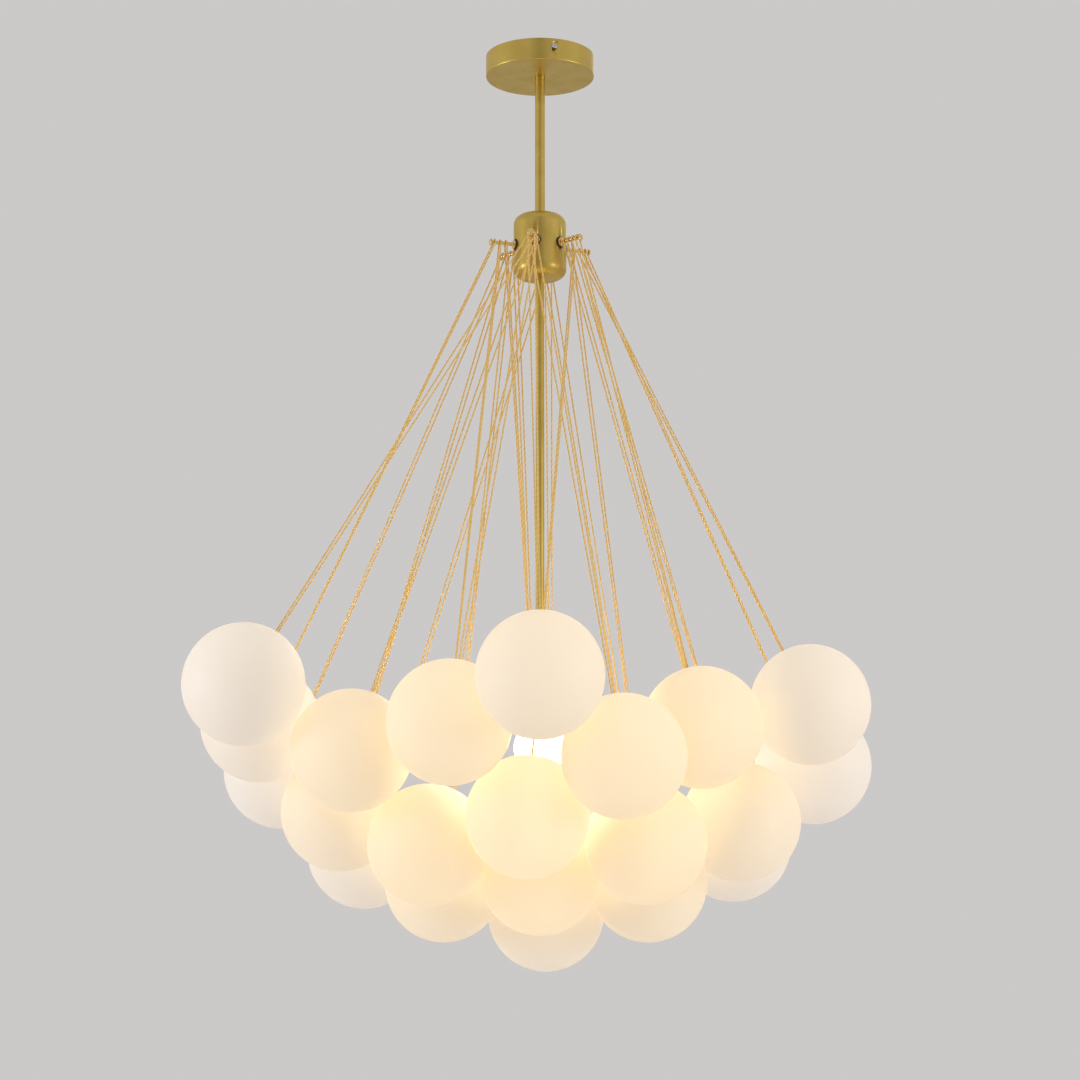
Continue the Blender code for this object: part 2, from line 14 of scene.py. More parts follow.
import bmesh
import bpy
import numpy as np
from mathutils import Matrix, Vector

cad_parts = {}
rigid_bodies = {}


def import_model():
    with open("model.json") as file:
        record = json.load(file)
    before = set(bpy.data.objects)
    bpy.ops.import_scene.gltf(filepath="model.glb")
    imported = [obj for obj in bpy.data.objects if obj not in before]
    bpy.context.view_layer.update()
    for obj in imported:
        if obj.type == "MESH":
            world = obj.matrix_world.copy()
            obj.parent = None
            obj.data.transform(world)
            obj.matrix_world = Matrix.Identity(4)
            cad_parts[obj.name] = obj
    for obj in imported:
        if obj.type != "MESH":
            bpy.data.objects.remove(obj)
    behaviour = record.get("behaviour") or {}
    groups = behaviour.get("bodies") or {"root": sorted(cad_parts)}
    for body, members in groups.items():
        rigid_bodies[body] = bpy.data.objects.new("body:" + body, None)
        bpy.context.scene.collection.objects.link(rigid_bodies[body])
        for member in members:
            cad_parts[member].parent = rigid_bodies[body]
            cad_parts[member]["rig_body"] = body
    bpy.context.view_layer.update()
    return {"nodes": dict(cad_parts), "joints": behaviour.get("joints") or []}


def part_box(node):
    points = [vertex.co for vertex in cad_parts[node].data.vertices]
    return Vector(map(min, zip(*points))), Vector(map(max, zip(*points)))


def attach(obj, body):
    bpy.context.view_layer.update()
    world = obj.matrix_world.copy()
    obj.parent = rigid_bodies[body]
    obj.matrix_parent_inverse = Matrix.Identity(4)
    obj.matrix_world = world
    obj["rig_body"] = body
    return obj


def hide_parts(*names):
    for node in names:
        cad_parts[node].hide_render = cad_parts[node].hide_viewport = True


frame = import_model()

# %% [markdown]
# ## Sizes
#
# The whole light hangs down from the ceiling at height zero. Most sizes are read from the solids. Those that a
# faceted solid can't tell, such as a radius at a rounded edge, are named here, in metres.

# %% Read the main sizes from the frame
canopy_low, canopy_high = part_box("canopy")
hub_low, hub_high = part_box("hub_body")
upper_low, upper_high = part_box("upper_stem")
lower_low, lower_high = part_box("lower_stem")
cup_low, cup_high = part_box("lamp_cup")
holder_low, holder_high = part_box("lampholder")
bulb_low, bulb_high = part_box("bulb")
nut_low, nut_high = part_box("stem_locknut")

CANOPY_RADIUS = canopy_high.x
HUB_RADIUS = hub_high.x
UPPER_STEM_RADIUS = upper_high.x
LOWER_STEM_RADIUS = lower_high.x
CUP_RADIUS = cup_high.x
HOLDER_RADIUS = holder_high.x
BULB_RADIUS = bulb_high.x
GLOBE_HEIGHT = bulb_low.z + BULB_RADIUS
LAMP = np.array([0.0, 0.0, GLOBE_HEIGHT])
HOOK_HEIGHT = (hub_low.z + hub_high.z) / 2
FIT_GAP = 0.0003

BUBBLE_RADIUS = 0.070
GLASS_WALL = 0.003
HOLE_RADIUS = 0.010
CORD_RADIUS = 0.0011
HOOK_TURNS = [radians(a) for a in (-10, 50, 110, 170, 230, 290)]
SCREW_TURN = radians(15)
SCREW_DROP = 0.0098
print("canopy", CANOPY_RADIUS, "hub", HUB_RADIUS, "stems", UPPER_STEM_RADIUS, LOWER_STEM_RADIUS)

# %% [markdown]
# Every bubble turns on its own cord, so its joint tells where its middle is and which way its cord runs. The
# cord runs up that line until it reaches the height of the pegs, and there it is folded over one of them.

# %% Read where each bubble hangs
joints = {joint["name"]: joint for joint in frame["joints"]}


def hang_of(number):
    """The bubble's middle, the unit direction up its cord, and the point on the peg's axis inside its loop.
    The line middle + t * direction meets the height of the pegs where t = (height - middle z) / direction z."""
    joint = joints[f"bubble_{number:02d}_turn"]
    middle = np.array(joint["pos_m"], float)
    way = np.array(joint["axis"], float)
    way /= np.linalg.norm(way)
    loop = middle + way * (HOOK_HEIGHT - middle[2]) / way[2]
    return middle, way, loop


BUBBLES = range(1, 23)
hangs = {number: hang_of(number) for number in BUBBLES}
cord_lengths = [np.linalg.norm(loop - middle) for middle, way, loop in hangs.values()]
print("cords from", round(min(cord_lengths), 3), "to", round(max(cord_lengths), 3), "m to the bubble's middle")

# %% [markdown]
# ## The camera
#
# The photograph looks up at the light from below its lowest bubble. The canopy's ellipse gives the pitch, and
# the sizes of near and far bubbles give the distance.

# %% Place the camera
CAMERA_PLACE = (0.0, -3.694, -1.394)
CAMERA_PITCH = radians(12.2)
CAMERA_LENS = 108.0

camera_data = bpy.data.cameras.new("camera")
camera_data.lens = CAMERA_LENS
camera_data.sensor_width = 36.0
camera = bpy.data.objects.new("camera", camera_data)
camera.location = CAMERA_PLACE
camera.rotation_euler = (pi / 2 + CAMERA_PITCH, 0.0, 0.0)
bpy.context.collection.objects.link(camera)
bpy.context.scene.camera = camera

# %% [markdown]
# ## Surfaces from grids
#
# Nearly every piece here is turned on a lathe, blown in a mould or wound, so a grid of points describes it. One
# way runs along a profile or a path, the other runs round. Whole arrays are worked out at once, and one helper
# stretches faces over them, gives them a map in metres along the profile, and welds the poles.

# %% Helpers that make a mesh out of grids
WELD_DISTANCE = 1e-7
CRISP_EDGE = radians(35)


def grid_faces(rows, columns, ring):
    """Quads between neighbouring rows, the last column joined to the first. In a ring, so are the rows."""
    index = np.arange(rows * columns).reshape(rows, columns)
    low = index if ring else index[:-1]
    high = np.roll(index, -1, 0) if ring else index[1:]
    return np.stack([low, np.roll(low, -1, 1), np.roll(high, -1, 1), high], -1).reshape(-1, 4)


def grid_map(grid, ring):
    """A map for the same quads: share of the way round, and metres run along the first column."""
    rows, columns = grid.shape[:2]
    line = np.vstack([grid[:, 0], grid[:1, 0]]) if ring else grid[:, 0]
    run = np.concatenate([[0.0], np.cumsum(np.linalg.norm(np.diff(line, axis=0), axis=1))])
    steps = len(run) - 1
    u = np.broadcast_to(np.arange(columns) / columns, (steps, columns))
    v = np.broadcast_to(run[:-1, None], (steps, columns))
    next_u = u + 1 / columns
    next_v = np.broadcast_to(run[1:, None], (steps, columns))
    corners = [(u, v), (next_u, v), (next_u, next_v), (u, next_v)]
    return np.stack([np.stack(corner, -1) for corner in corners], 2).reshape(-1, 2)


def skin(name, grids, ring=False, values=None):
    """Stretches one closed mesh over each grid and keeps them as one object at the origin. values gives
    named numbers for the points, one array for each grid."""
    faces, maps, offset = [], [], 0
    for grid in grids:
        faces.append(grid_faces(*grid.shape[:2], ring) + offset)
        maps.append(grid_map(grid, ring))
        offset += grid.shape[0] * grid.shape[1]
    points = np.vstack([grid.reshape(-1, 3) for grid in grids])
    mesh = bpy.data.meshes.new(name)
    mesh.from_pydata(points.tolist(), [], np.vstack(faces).tolist())
    layer = mesh.uv_layers.new(name="Surface")
    layer.data.foreach_set("uv", np.vstack(maps).ravel())
    for key, arrays in (values or {}).items():
        attribute = mesh.attributes.new(key, "FLOAT", "POINT")
        attribute.data.foreach_set("value", np.concatenate([a.ravel() for a in arrays]))
    weld(mesh)
    mesh.shade_smooth()
    mesh.set_sharp_from_angle(angle=CRISP_EDGE)
    piece = bpy.data.objects.new(name, mesh)
    bpy.context.collection.objects.link(piece)
    return piece


def weld(mesh):
    """Joins the points of a pole, or of a seam, that lie on each other."""
    bm = bmesh.new()
    bm.from_mesh(mesh)
    bmesh.ops.remove_doubles(bm, verts=bm.verts, dist=WELD_DISTANCE)
    bm.to_mesh(mesh)
    bm.free()


# %% [markdown]
# Smooth shading bends across every face that meets a curve. A straight run of a profile therefore gets a point
# just inside each of its ends, so that the bend stays in the rounded corner and the flat stays flat.

# %% Helpers for turned work
HOLD = 0.0004


def bow(centre, radius, start, end, steps):
    """Points of an arc in the (radius, height) plane: centre + radius * (cos, sin) from start to end."""
    angles = np.linspace(start, end, steps + 1)
    return np.stack([centre[0] + radius * np.cos(angles), centre[1] + radius * np.sin(angles)], -1)


def profile_of(*parts):
    """Joins points and arcs into one profile and holds its straight runs."""
    line = np.vstack([np.atleast_2d(np.asarray(part, float)) for part in parts])
    run = np.diff(line, axis=0)
    length = np.linalg.norm(run, axis=1)
    way = run / np.maximum(length, WELD_DISTANCE)[:, None]
    long_run = length > 5 * HOLD
    rows = np.stack([line[:-1], line[:-1] + way * HOLD, line[1:] - way * HOLD], 1)
    kept = np.stack([np.ones_like(long_run), long_run, long_run], 1)
    return np.vstack([rows[kept], line[-1:]])


def basis(axis):
    """Three unit vectors as rows, the last along the axis, the first two square to it and to each other."""
    axis = np.asarray(axis, float) / np.linalg.norm(axis)
    helper = np.array([0.0, 0.0, 1.0]) if abs(axis[2]) < 0.9 else np.array([1.0, 0.0, 0.0])
    side = np.cross(helper, axis)
    side /= np.linalg.norm(side)
    return np.stack([side, np.cross(axis, side), axis])


def turned(profile, columns, centre=(0, 0, 0), axis=(0, 0, 1), swell=None):
    """Carries a profile round an axis: centre + r cos(t) side + r sin(t) other side + height * axis. swell
    gives a radius to add at each (height, angle)."""
    angles = np.linspace(0, 2 * pi, columns, endpoint=False)
    radius = np.repeat(profile[:, :1], columns, 1)
    if swell is not None:
        radius = np.where(radius > 0, radius + swell(profile[:, 1:], angles[None, :]), radius)
    side, other, up = basis(axis)
    return (np.asarray(centre, float) + (radius * np.cos(angles))[..., None] * side
            + (radius * np.sin(angles))[..., None] * other + profile[:, 1, None, None] * up)


def heading(turn):
    """The level direction at an angle from the front (-Y) towards the right (+X)."""
    return np.array([sin(turn), -cos(turn), 0.0])


def finish_piece(piece, finish, slot, body, *nodes):
    """Gives a piece its finish, its body, and the solids that it stands for."""
    piece.data.materials.append(finish)
    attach(piece, body)
    if nodes:
        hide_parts(*nodes)
    return piece


# %% [markdown]
# ## Finishes
#
# A finish is a small network of nodes. The next helpers keep the networks short: one adds a node and joins its
# inputs, one makes a grey pattern out of noise and spreads it between two values.

# %% Helpers for finishes
def new_finish(name):
    """A material with an empty Principled shader, and a function that adds nodes to it."""
    finish = bpy.data.materials.new(name)
    finish.use_nodes = True
    tree = finish.node_tree
    shader = tree.nodes["Principled BSDF"]

    def node(kind, inputs=None, **settings):
        made = tree.nodes.new(kind)
        for key, value in settings.items():
            setattr(made, key, value)
        for key, value in (inputs or {}).items():
            if isinstance(value, bpy.types.NodeSocket):
                tree.links.new(value, made.inputs[key])
            else:
                made.inputs[key].default_value = value
        return made

    return finish, shader, node, tree.links.new


def noise_between(node, vector, scale, low, high, detail=3.0):
    """Noise at a scale, spread from its usual range to the values low to high."""
    noise = node("ShaderNodeTexNoise", {"Vector": vector, "Scale": scale, "Detail": detail})
    spread = node("ShaderNodeMapRange", {"Value": noise.outputs["Fac"], "From Min": 0.3, "From Max": 0.7,
                                         "To Min": low, "To Max": high})
    return spread.outputs["Result"]


def two_tone(node, factor, first, second):
    """A colour between two, by a factor."""
    mix = node("ShaderNodeMix", {0: factor, 6: (*first, 1), 7: (*second, 1)}, data_type="RGBA")
    return mix.outputs[2]


# %% [markdown]
# ### Metals
#
# The brass is turned and then satin finished. A cutting tool leaves rings finer than a hair, which soften the
# highlight without hiding it. The rings follow the profile, so they read the map that runs along it, while
# tarnish and finger marks are clouds in space, a few centimetres wide.

# %% Make the metals
def turned_metal(name, colour, tarnish, roughness, ring_depth, rings_per_metre=2600.0):
    """Metal with fine turned rings along the map's second axis, and clouds of tarnish in space."""
    finish, shader, node, link = new_finish(name)
    surface = node("ShaderNodeUVMap", uv_map="Surface")
    along = node("ShaderNodeMapping", {"Vector": surface.outputs["UV"], "Scale": (0.0, rings_per_metre, 0.0)})
    space = node("ShaderNodeTexCoord").outputs["Object"]
    rings = noise_between(node, along.outputs["Vector"], 1.0, 0.0, 1.0, 2.0)
    clouds = noise_between(node, space, 38.0, 0.0, 1.0)
    link(two_tone(node, clouds, colour, tarnish), shader.inputs["Base Color"])
    rough = node("ShaderNodeMath", {0: clouds, 1: 0.05, 2: roughness}, operation="MULTIPLY_ADD")
    grain = node("ShaderNodeMath", {0: rings, 1: 0.06, 2: rough.outputs[0]}, operation="MULTIPLY_ADD")
    link(grain.outputs[0], shader.inputs["Roughness"])
    bump = node("ShaderNodeBump", {"Height": rings, "Strength": ring_depth, "Distance": 0.0001})
    link(bump.outputs["Normal"], shader.inputs["Normal"])
    shader.inputs["Metallic"].default_value = 1.0
    return finish


satin_brass = turned_metal("satin_brass", (0.68, 0.50, 0.13), (0.60, 0.43, 0.10), 0.33, 0.35)
polished_gold = turned_metal("polished_gold", (0.86, 0.66, 0.28), (0.78, 0.56, 0.20), 0.08, 0.05)
plated_steel = turned_metal("plated_steel", (0.66, 0.67, 0.70), (0.54, 0.56, 0.60), 0.24, 0.15)


def pressed_steel(name, colour, stain):
    """Zinc-plated sheet, with a bright crystal pattern in two sizes of cell."""
    finish, shader, node, link = new_finish(name)
    space = node("ShaderNodeTexCoord").outputs["Object"]
    cells = node("ShaderNodeTexVoronoi", {"Vector": space, "Scale": 260.0})
    clouds = noise_between(node, space, 60.0, 0.0, 1.0)
    grain = node("ShaderNodeMath", {0: cells.outputs["Distance"], 1: 0.5, 2: clouds}, operation="MULTIPLY_ADD")
    link(two_tone(node, grain.outputs[0], colour, stain), shader.inputs["Base Color"])
    rough = node("ShaderNodeMath", {0: clouds, 1: 0.14, 2: 0.26}, operation="MULTIPLY_ADD")
    link(rough.outputs[0], shader.inputs["Roughness"])
    shader.inputs["Metallic"].default_value = 1.0
    return finish


zinc_sheet = pressed_steel("zinc_sheet", (0.68, 0.69, 0.71), (0.52, 0.54, 0.57))


def painted_shade_black_finish(name):
    """Matt near-black for the ring of painted shade round each peg's boss, with a faint bloom in patches."""
    finish, shader, node, link = new_finish(name)
    bloom = noise_between(node, node("ShaderNodeTexCoord").outputs["Object"], 300.0, 0.0, 1.0)
    link(two_tone(node, bloom, (0.016, 0.015, 0.014), (0.030, 0.028, 0.026)), shader.inputs["Base Color"])
    rough = node("ShaderNodeMath", {0: bloom, 1: 0.15, 2: 0.55}, operation="MULTIPLY_ADD")
    link(rough.outputs[0], shader.inputs["Roughness"])
    return finish


# A near-black finish for the painted shade round the pegs' bosses.
painted_shade_black = painted_shade_black_finish("painted_shade_black")

# %% [markdown]
# ### Holder and lamp
#
# The holder is moulded, nearly white, with the faint ripple of its mould. The lamp's globe glows, and its light
# warms the bubbles, along with the painted glow in the glass. The nearest walls would hold back most of it, so
# a second light in the same place casts no shadow: it stands for what the walls scatter on through the cloud.

# %% Make the holder's and the lamp's finishes
LAMP_COLOUR = (1.0, 0.86, 0.68)
LAMP_STRENGTH = 10.5
LAMP_SPREAD = 0.45
SPREAD_COLOUR = (1.0, 0.98, 0.95)


def moulded_plastic(name, colour, shade):
    """Moulded plastic with a soft ripple."""
    finish, shader, node, link = new_finish(name)
    space = node("ShaderNodeTexCoord").outputs["Object"]
    ripple = noise_between(node, space, 220.0, 0.0, 1.0)
    link(two_tone(node, ripple, colour, shade), shader.inputs["Base Color"])
    bump = node("ShaderNodeBump", {"Height": ripple, "Strength": 0.08, "Distance": 0.0002})
    link(bump.outputs["Normal"], shader.inputs["Normal"])
    shader.inputs["Roughness"].default_value = 0.36
    return finish


def glowing_glass(name):
    """Frosted glass lit from inside, a little dimmer where the frosting is thick."""
    finish, shader, node, link = new_finish(name)
    space = node("ShaderNodeTexCoord").outputs["Object"]
    frosting = noise_between(node, space, 90.0, 0.94, 1.0)
    strength = node("ShaderNodeMath", {0: frosting, 1: LAMP_STRENGTH}, operation="MULTIPLY")
    shader.inputs["Base Color"].default_value = (0.96, 0.93, 0.86, 1)
    shader.inputs["Roughness"].default_value = 0.3
    shader.inputs["Emission Color"].default_value = (*LAMP_COLOUR, 1)
    link(strength.outputs[0], shader.inputs["Emission Strength"])
    return finish


holder_plastic = moulded_plastic("holder_plastic", (0.88, 0.87, 0.83), (0.82, 0.80, 0.76))
lamp_glass = glowing_glass("lamp_glass")

# %% [markdown]
# ### Opal glass
#
# An opal bubble scatters light in its wall, so it never shows the lamp, only how near the lamp is. Each point
# carries a number for that, worked out with the shape, which sets a painted glow: the glass colour is painted
# warmer and its emission painted stronger the nearer the lamp is. A bubble can turn on its cord, and its
# painted glow must not turn with it, so the number is the same all the way round the cord. Beside the painted
# glow, what brightens the side next to the lamp is the lamp's own light, part of which passes through the wall.

# %% Make the opal glass
OPAL_PASSES = 0.42


def opal(name):
    """Etched opal glass with a painted glow: its colour is painted from cool white far from the lamp to warm
    near it, and it emits a painted glow that grows near the lamp, with a fine etched grain. Part of the light
    passes through the wall and leaves it on the far side in every direction."""
    finish, shader, node, link = new_finish(name)
    space = node("ShaderNodeTexCoord").outputs["Object"]
    # Painted glow: a number per point that grows near the lamp.
    painted_glow = node("ShaderNodeAttribute", attribute_name="painted_glow").outputs["Fac"]
    blown = noise_between(node, space, 9.0, -0.02, 0.02, 1.0)
    painted_glow_and_blown = node("ShaderNodeMath", {0: painted_glow, 1: blown}, operation="ADD", use_clamp=True)
    # Painted lamp light: the base colour turns warm near the lamp.
    body = two_tone(node, painted_glow_and_blown.outputs[0], (0.95, 0.935, 0.925), (0.96, 0.88, 0.71))
    link(body, shader.inputs["Base Color"])
    # Painted glow: an emission whose colour and strength grow near the lamp.
    link(two_tone(node, painted_glow_and_blown.outputs[0], (1.0, 0.90, 0.85), (1.0, 0.91, 0.76)), shader.inputs["Emission Color"])
    painted_glow_strength = node("ShaderNodeMath", {0: painted_glow_and_blown.outputs[0], 1: 0.03, 2: 0.18}, operation="MULTIPLY_ADD")
    link(painted_glow_strength.outputs[0], shader.inputs["Emission Strength"])
    etched = noise_between(node, space, 900.0, 0.0, 1.0, 2.0)
    rough = node("ShaderNodeMath", {0: etched, 1: 0.08, 2: 0.40}, operation="MULTIPLY_ADD")
    link(rough.outputs[0], shader.inputs["Roughness"])
    bump = node("ShaderNodeBump", {"Height": etched, "Strength": 0.10, "Distance": 0.0001})
    link(bump.outputs["Normal"], shader.inputs["Normal"])
    shader.inputs["IOR"].default_value = 1.45
    through = node("ShaderNodeBsdfTranslucent", {"Color": body})
    mixed = node("ShaderNodeMixShader", {0: OPAL_PASSES, 1: shader.outputs[0], 2: through.outputs[0]})
    link(mixed.outputs[0], finish.node_tree.nodes["Material Output"].inputs["Surface"])
    return finish


opal_glass = opal("opal_glass")

# %% [markdown]
# ### Gold cord
#
# The cord is laid from three strands, and each has its own shade of gold thread, which is why it flickers
# between yellow and orange from afar. A number on each strand picks the shade, and fine noise across the map
# gives its fibres.

# %% Make the cord's finish
def gold_thread(name):
    """Three shades of gold thread, by strand, with fibres along the strand and a sheen at its edges."""
    finish, shader, node, link = new_finish(name)
    strand = node("ShaderNodeAttribute", attribute_name="strand").outputs["Fac"]
    shades = node("ShaderNodeValToRGB", {"Fac": strand})
    shades.color_ramp.interpolation = "CONSTANT"
    shades.color_ramp.elements[0].color = (1.0, 0.73, 0.25, 1)
    shades.color_ramp.elements[1].position = 0.66
    shades.color_ramp.elements[1].color = (1.0, 0.82, 0.40, 1)
    middle = shades.color_ramp.elements.new(0.33)
    middle.color = (1.0, 0.58, 0.15, 1)
    surface = node("ShaderNodeUVMap", uv_map="Surface")
    fibre_map = node("ShaderNodeMapping", {"Vector": surface.outputs["UV"], "Scale": (9.0, 500.0, 0.0)})
    fibres = noise_between(node, fibre_map.outputs["Vector"], 1.0, 0.0, 1.0, 2.0)
    shaded = node("ShaderNodeMix", {0: 0.35, 6: shades.outputs["Color"]}, data_type="RGBA",
                  blend_type="MULTIPLY")
    link(two_tone(node, fibres, (0.88, 0.84, 0.72), (1.0, 1.0, 1.0)), shaded.inputs[7])
    link(shaded.outputs[2], shader.inputs["Base Color"])
    bump = node("ShaderNodeBump", {"Height": fibres, "Strength": 0.25, "Distance": 0.0001})
    link(bump.outputs["Normal"], shader.inputs["Normal"])
    shader.inputs["Roughness"].default_value = 0.70
    shader.inputs["Specular IOR Level"].default_value = 0.3
    shader.inputs["Sheen Weight"].default_value = 0.6
    shader.inputs["Sheen Roughness"].default_value = 0.5
    shader.inputs["Sheen Tint"].default_value = (1.0, 0.74, 0.30, 1)
    return finish


gold_cord = gold_thread("gold_cord")

# %% [markdown]
# ## Canopy and what it hides
#
# The canopy is a shallow spun cup with a small round on its lower edge. The stem passes through its floor, and
# two screws hold its wall to the ceiling plate. The screws' holes are cut with a Boolean, because a grid can't
# easily carry a hole.

# %% Make the canopy
CANOPY_WALL = 0.0012
CANOPY_EDGE = 0.0015
FINE_COLUMNS = 128
BORE_COLUMNS = 32
SCREW_RADIUS = 0.0020
SCREW_HOLE_REACH = 0.004


def drill(piece, radius, reach, places):
    """Cuts round holes: each place is a centre and an axis, and the cutter reaches the same way both ways."""
    rod = profile_of((0, -reach), (radius, -reach), (radius, reach), (0, reach))
    cutter = skin(f"{piece.name}_drill", [turned(rod, BORE_COLUMNS, centre, axis) for centre, axis in places])
    change = piece.modifiers.new("holes", "BOOLEAN")
    change.operation = "DIFFERENCE"
    change.solver = "EXACT"
    change.object = cutter
    bpy.context.view_layer.update()
    shaped = piece.evaluated_get(bpy.context.evaluated_depsgraph_get())
    cut_mesh = bpy.data.meshes.new_from_object(shaped)
    piece.modifiers.clear()
    piece.data = cut_mesh
    bpy.data.objects.remove(cutter)


def closed_profile(*parts):
    """A profile that comes back to its start, for a piece with a bore."""
    whole = profile_of(*parts, parts[0])
    return whole[:-1]


canopy_low_z = canopy_low.z
stem_hole = UPPER_STEM_RADIUS + FIT_GAP
canopy_line = closed_profile(
    (stem_hole, canopy_low_z),
    bow((CANOPY_RADIUS - CANOPY_EDGE, canopy_low_z + CANOPY_EDGE), CANOPY_EDGE, -pi / 2, 0, 8),
    (CANOPY_RADIUS, canopy_high.z), (CANOPY_RADIUS - CANOPY_WALL, canopy_high.z),
    (CANOPY_RADIUS - CANOPY_WALL, canopy_low_z + CANOPY_WALL), (stem_hole, canopy_low_z + CANOPY_WALL))
canopy = skin("canopy_cup", [turned(canopy_line, FINE_COLUMNS)], ring=True)
screw_drop = np.array([0.0, 0.0, -SCREW_DROP])
drill(canopy, SCREW_RADIUS + FIT_GAP, SCREW_HOLE_REACH,
      [(heading(SCREW_TURN) * way * CANOPY_RADIUS + screw_drop, heading(SCREW_TURN)) for way in (1, -1)])
finish_piece(canopy, satin_brass, "satin_brass", "root", "canopy")
frame["nodes"]["ceiling_plate"].data.materials.clear()
frame["nodes"]["ceiling_plate"].data.materials.append(zinc_sheet)
print("canopy:", len(canopy.data.polygons), "faces")

# %% [markdown]
# A thread is a grid too. Its radius rises and falls along the screw, and the wave starts later as the angle
# grows, so it climbs one pitch each time round. The same function later gives the lamp's cap its thread. The
# screw's head has a six-sided recess: inside it the radius follows a hexagon, r = flat / cos(angle from the
# middle of the side).

# %% Make the screws and the locknut
HEAD_RADIUS = 0.0031
HEAD_HEIGHT = 0.0020
HEAD_FOOT_ROUND = 0.0003
HEAD_CROWN_ROUND = 0.0010
RECESS_RADIUS = 0.00145
RECESS_DEPTH = 0.0011
RECESS_EDGE = 0.0001
RECESS_POINT = 0.0003
SCREW_LENGTH = 0.0135
SCREW_PITCH = 0.0007
SCREW_THREAD_DEPTH = 0.0001
THREAD_MARGIN = 0.0004
THREAD_ROWS = 96


def thread_wave(pitch, depth, start, end):
    """A radius to add: depth * a sine that climbs one pitch a turn, faded out at both ends of the thread."""
    def swell(height, angle):
        fade = np.clip(np.minimum(height - start, end - height) / pitch, 0, 1)
        return depth * fade * np.sin(2 * pi * height / pitch - angle)
    return swell


def hexagon(flat, angle):
    """The radius of a hexagon with sides at a distance flat, at an angle."""
    return flat / np.cos((angle + pi / 6) % (pi / 3) - pi / 6)


def canopy_screw(name, way, *nodes):
    """A screw along its own axis, out of the canopy's side: thread, head, and a recess for the key."""
    seat = CANOPY_RADIUS + FIT_GAP
    inner = seat - SCREW_LENGTH
    top = seat + HEAD_HEIGHT
    thread_low = inner + THREAD_MARGIN
    thread_high = seat - THREAD_MARGIN
    thread_rows = np.stack([np.full(THREAD_ROWS, SCREW_RADIUS - SCREW_THREAD_DEPTH),
                            np.linspace(thread_low, thread_high, THREAD_ROWS)], -1)
    line = np.vstack([(0, inner), (SCREW_RADIUS * 0.8, inner), thread_rows, (SCREW_RADIUS, seat),
                      bow((HEAD_RADIUS - HEAD_FOOT_ROUND, seat + HEAD_FOOT_ROUND), HEAD_FOOT_ROUND,
                          -pi / 2, 0, 4),
                      bow((HEAD_RADIUS - HEAD_CROWN_ROUND, top - HEAD_CROWN_ROUND), HEAD_CROWN_ROUND,
                          0, pi / 2, 6),
                      (RECESS_RADIUS * 1.2, top), (RECESS_RADIUS, top - RECESS_EDGE),
                      (RECESS_RADIUS, top - RECESS_DEPTH), (0, top - RECESS_DEPTH - RECESS_POINT)])
    recess_row = (line[:, 0] == RECESS_RADIUS)[:, None]
    wave = thread_wave(SCREW_PITCH, SCREW_THREAD_DEPTH, thread_low, thread_high)

    def swell(height, angle):
        key = hexagon(RECESS_RADIUS * cos(pi / 6), angle) - RECESS_RADIUS
        return np.where(recess_row, key, wave(height, angle))

    screw = skin(name, [turned(line, 48, screw_drop, heading(SCREW_TURN) * way, swell)])
    return finish_piece(screw, plated_steel, "plated_steel", "root", *nodes)


canopy_screw("side_screw_front", 1, "canopy_screw")
canopy_screw("side_screw_rear", -1)

NUT_FLAT = 0.0095
CHAMFER_SLOPE = 1.8
nut_middle = (nut_low.z + nut_high.z) / 2
nut_half = (nut_high.z - nut_low.z) / 2
nut_heights = nut_middle + nut_half * np.array([-1, -0.9, -0.8, -0.7, -0.55, 0.55, 0.7, 0.8, 0.9, 1])
nut_bore = UPPER_STEM_RADIUS + FIT_GAP
nut_outside = [(NUT_FLAT, z) for z in nut_heights]
nut_line = np.vstack([(nut_bore, nut_low.z)] + nut_outside + [(nut_bore, nut_high.z)])


def nut_swell(height, angle):
    """A hexagon, cut back to a cone near its two faces, as on a chamfered nut. The bore stays round."""
    from_face = nut_half - np.abs(height - nut_middle)
    outer = np.minimum(hexagon(NUT_FLAT, angle), NUT_FLAT + from_face * CHAMFER_SLOPE)
    bore_row = (nut_line[:, :1] == nut_bore)
    return np.where(bore_row, 0.0, outer - NUT_FLAT)


nut = skin("stem_nut", [turned(nut_line, 96, swell=nut_swell)], ring=True)
finish_piece(nut, plated_steel, "plated_steel", "root", "stem_locknut")

# %% [markdown]
# ## Stems and hub
#
# Both stems are drawn tube. The hub is a turned block with generous rounds. Its sockets take the stems' ends,
# a bore between them passes the wires, and six holes take the pegs.

# %% Make the stems
STEM_WALL = 0.0015
STEM_COLUMNS = 64
TUBE_EDGE = 0.0003


def tube(name, radius, wall, low, high):
    """A tube with broken edges, from one height to another."""
    bore = radius - wall
    line = closed_profile((bore + TUBE_EDGE, low), (radius - TUBE_EDGE, low), (radius, low + TUBE_EDGE),
                          (radius, high - TUBE_EDGE), (radius - TUBE_EDGE, high), (bore + TUBE_EDGE, high),
                          (bore, high - TUBE_EDGE), (bore, low + TUBE_EDGE))
    return skin(name, [turned(line, STEM_COLUMNS)], ring=True)


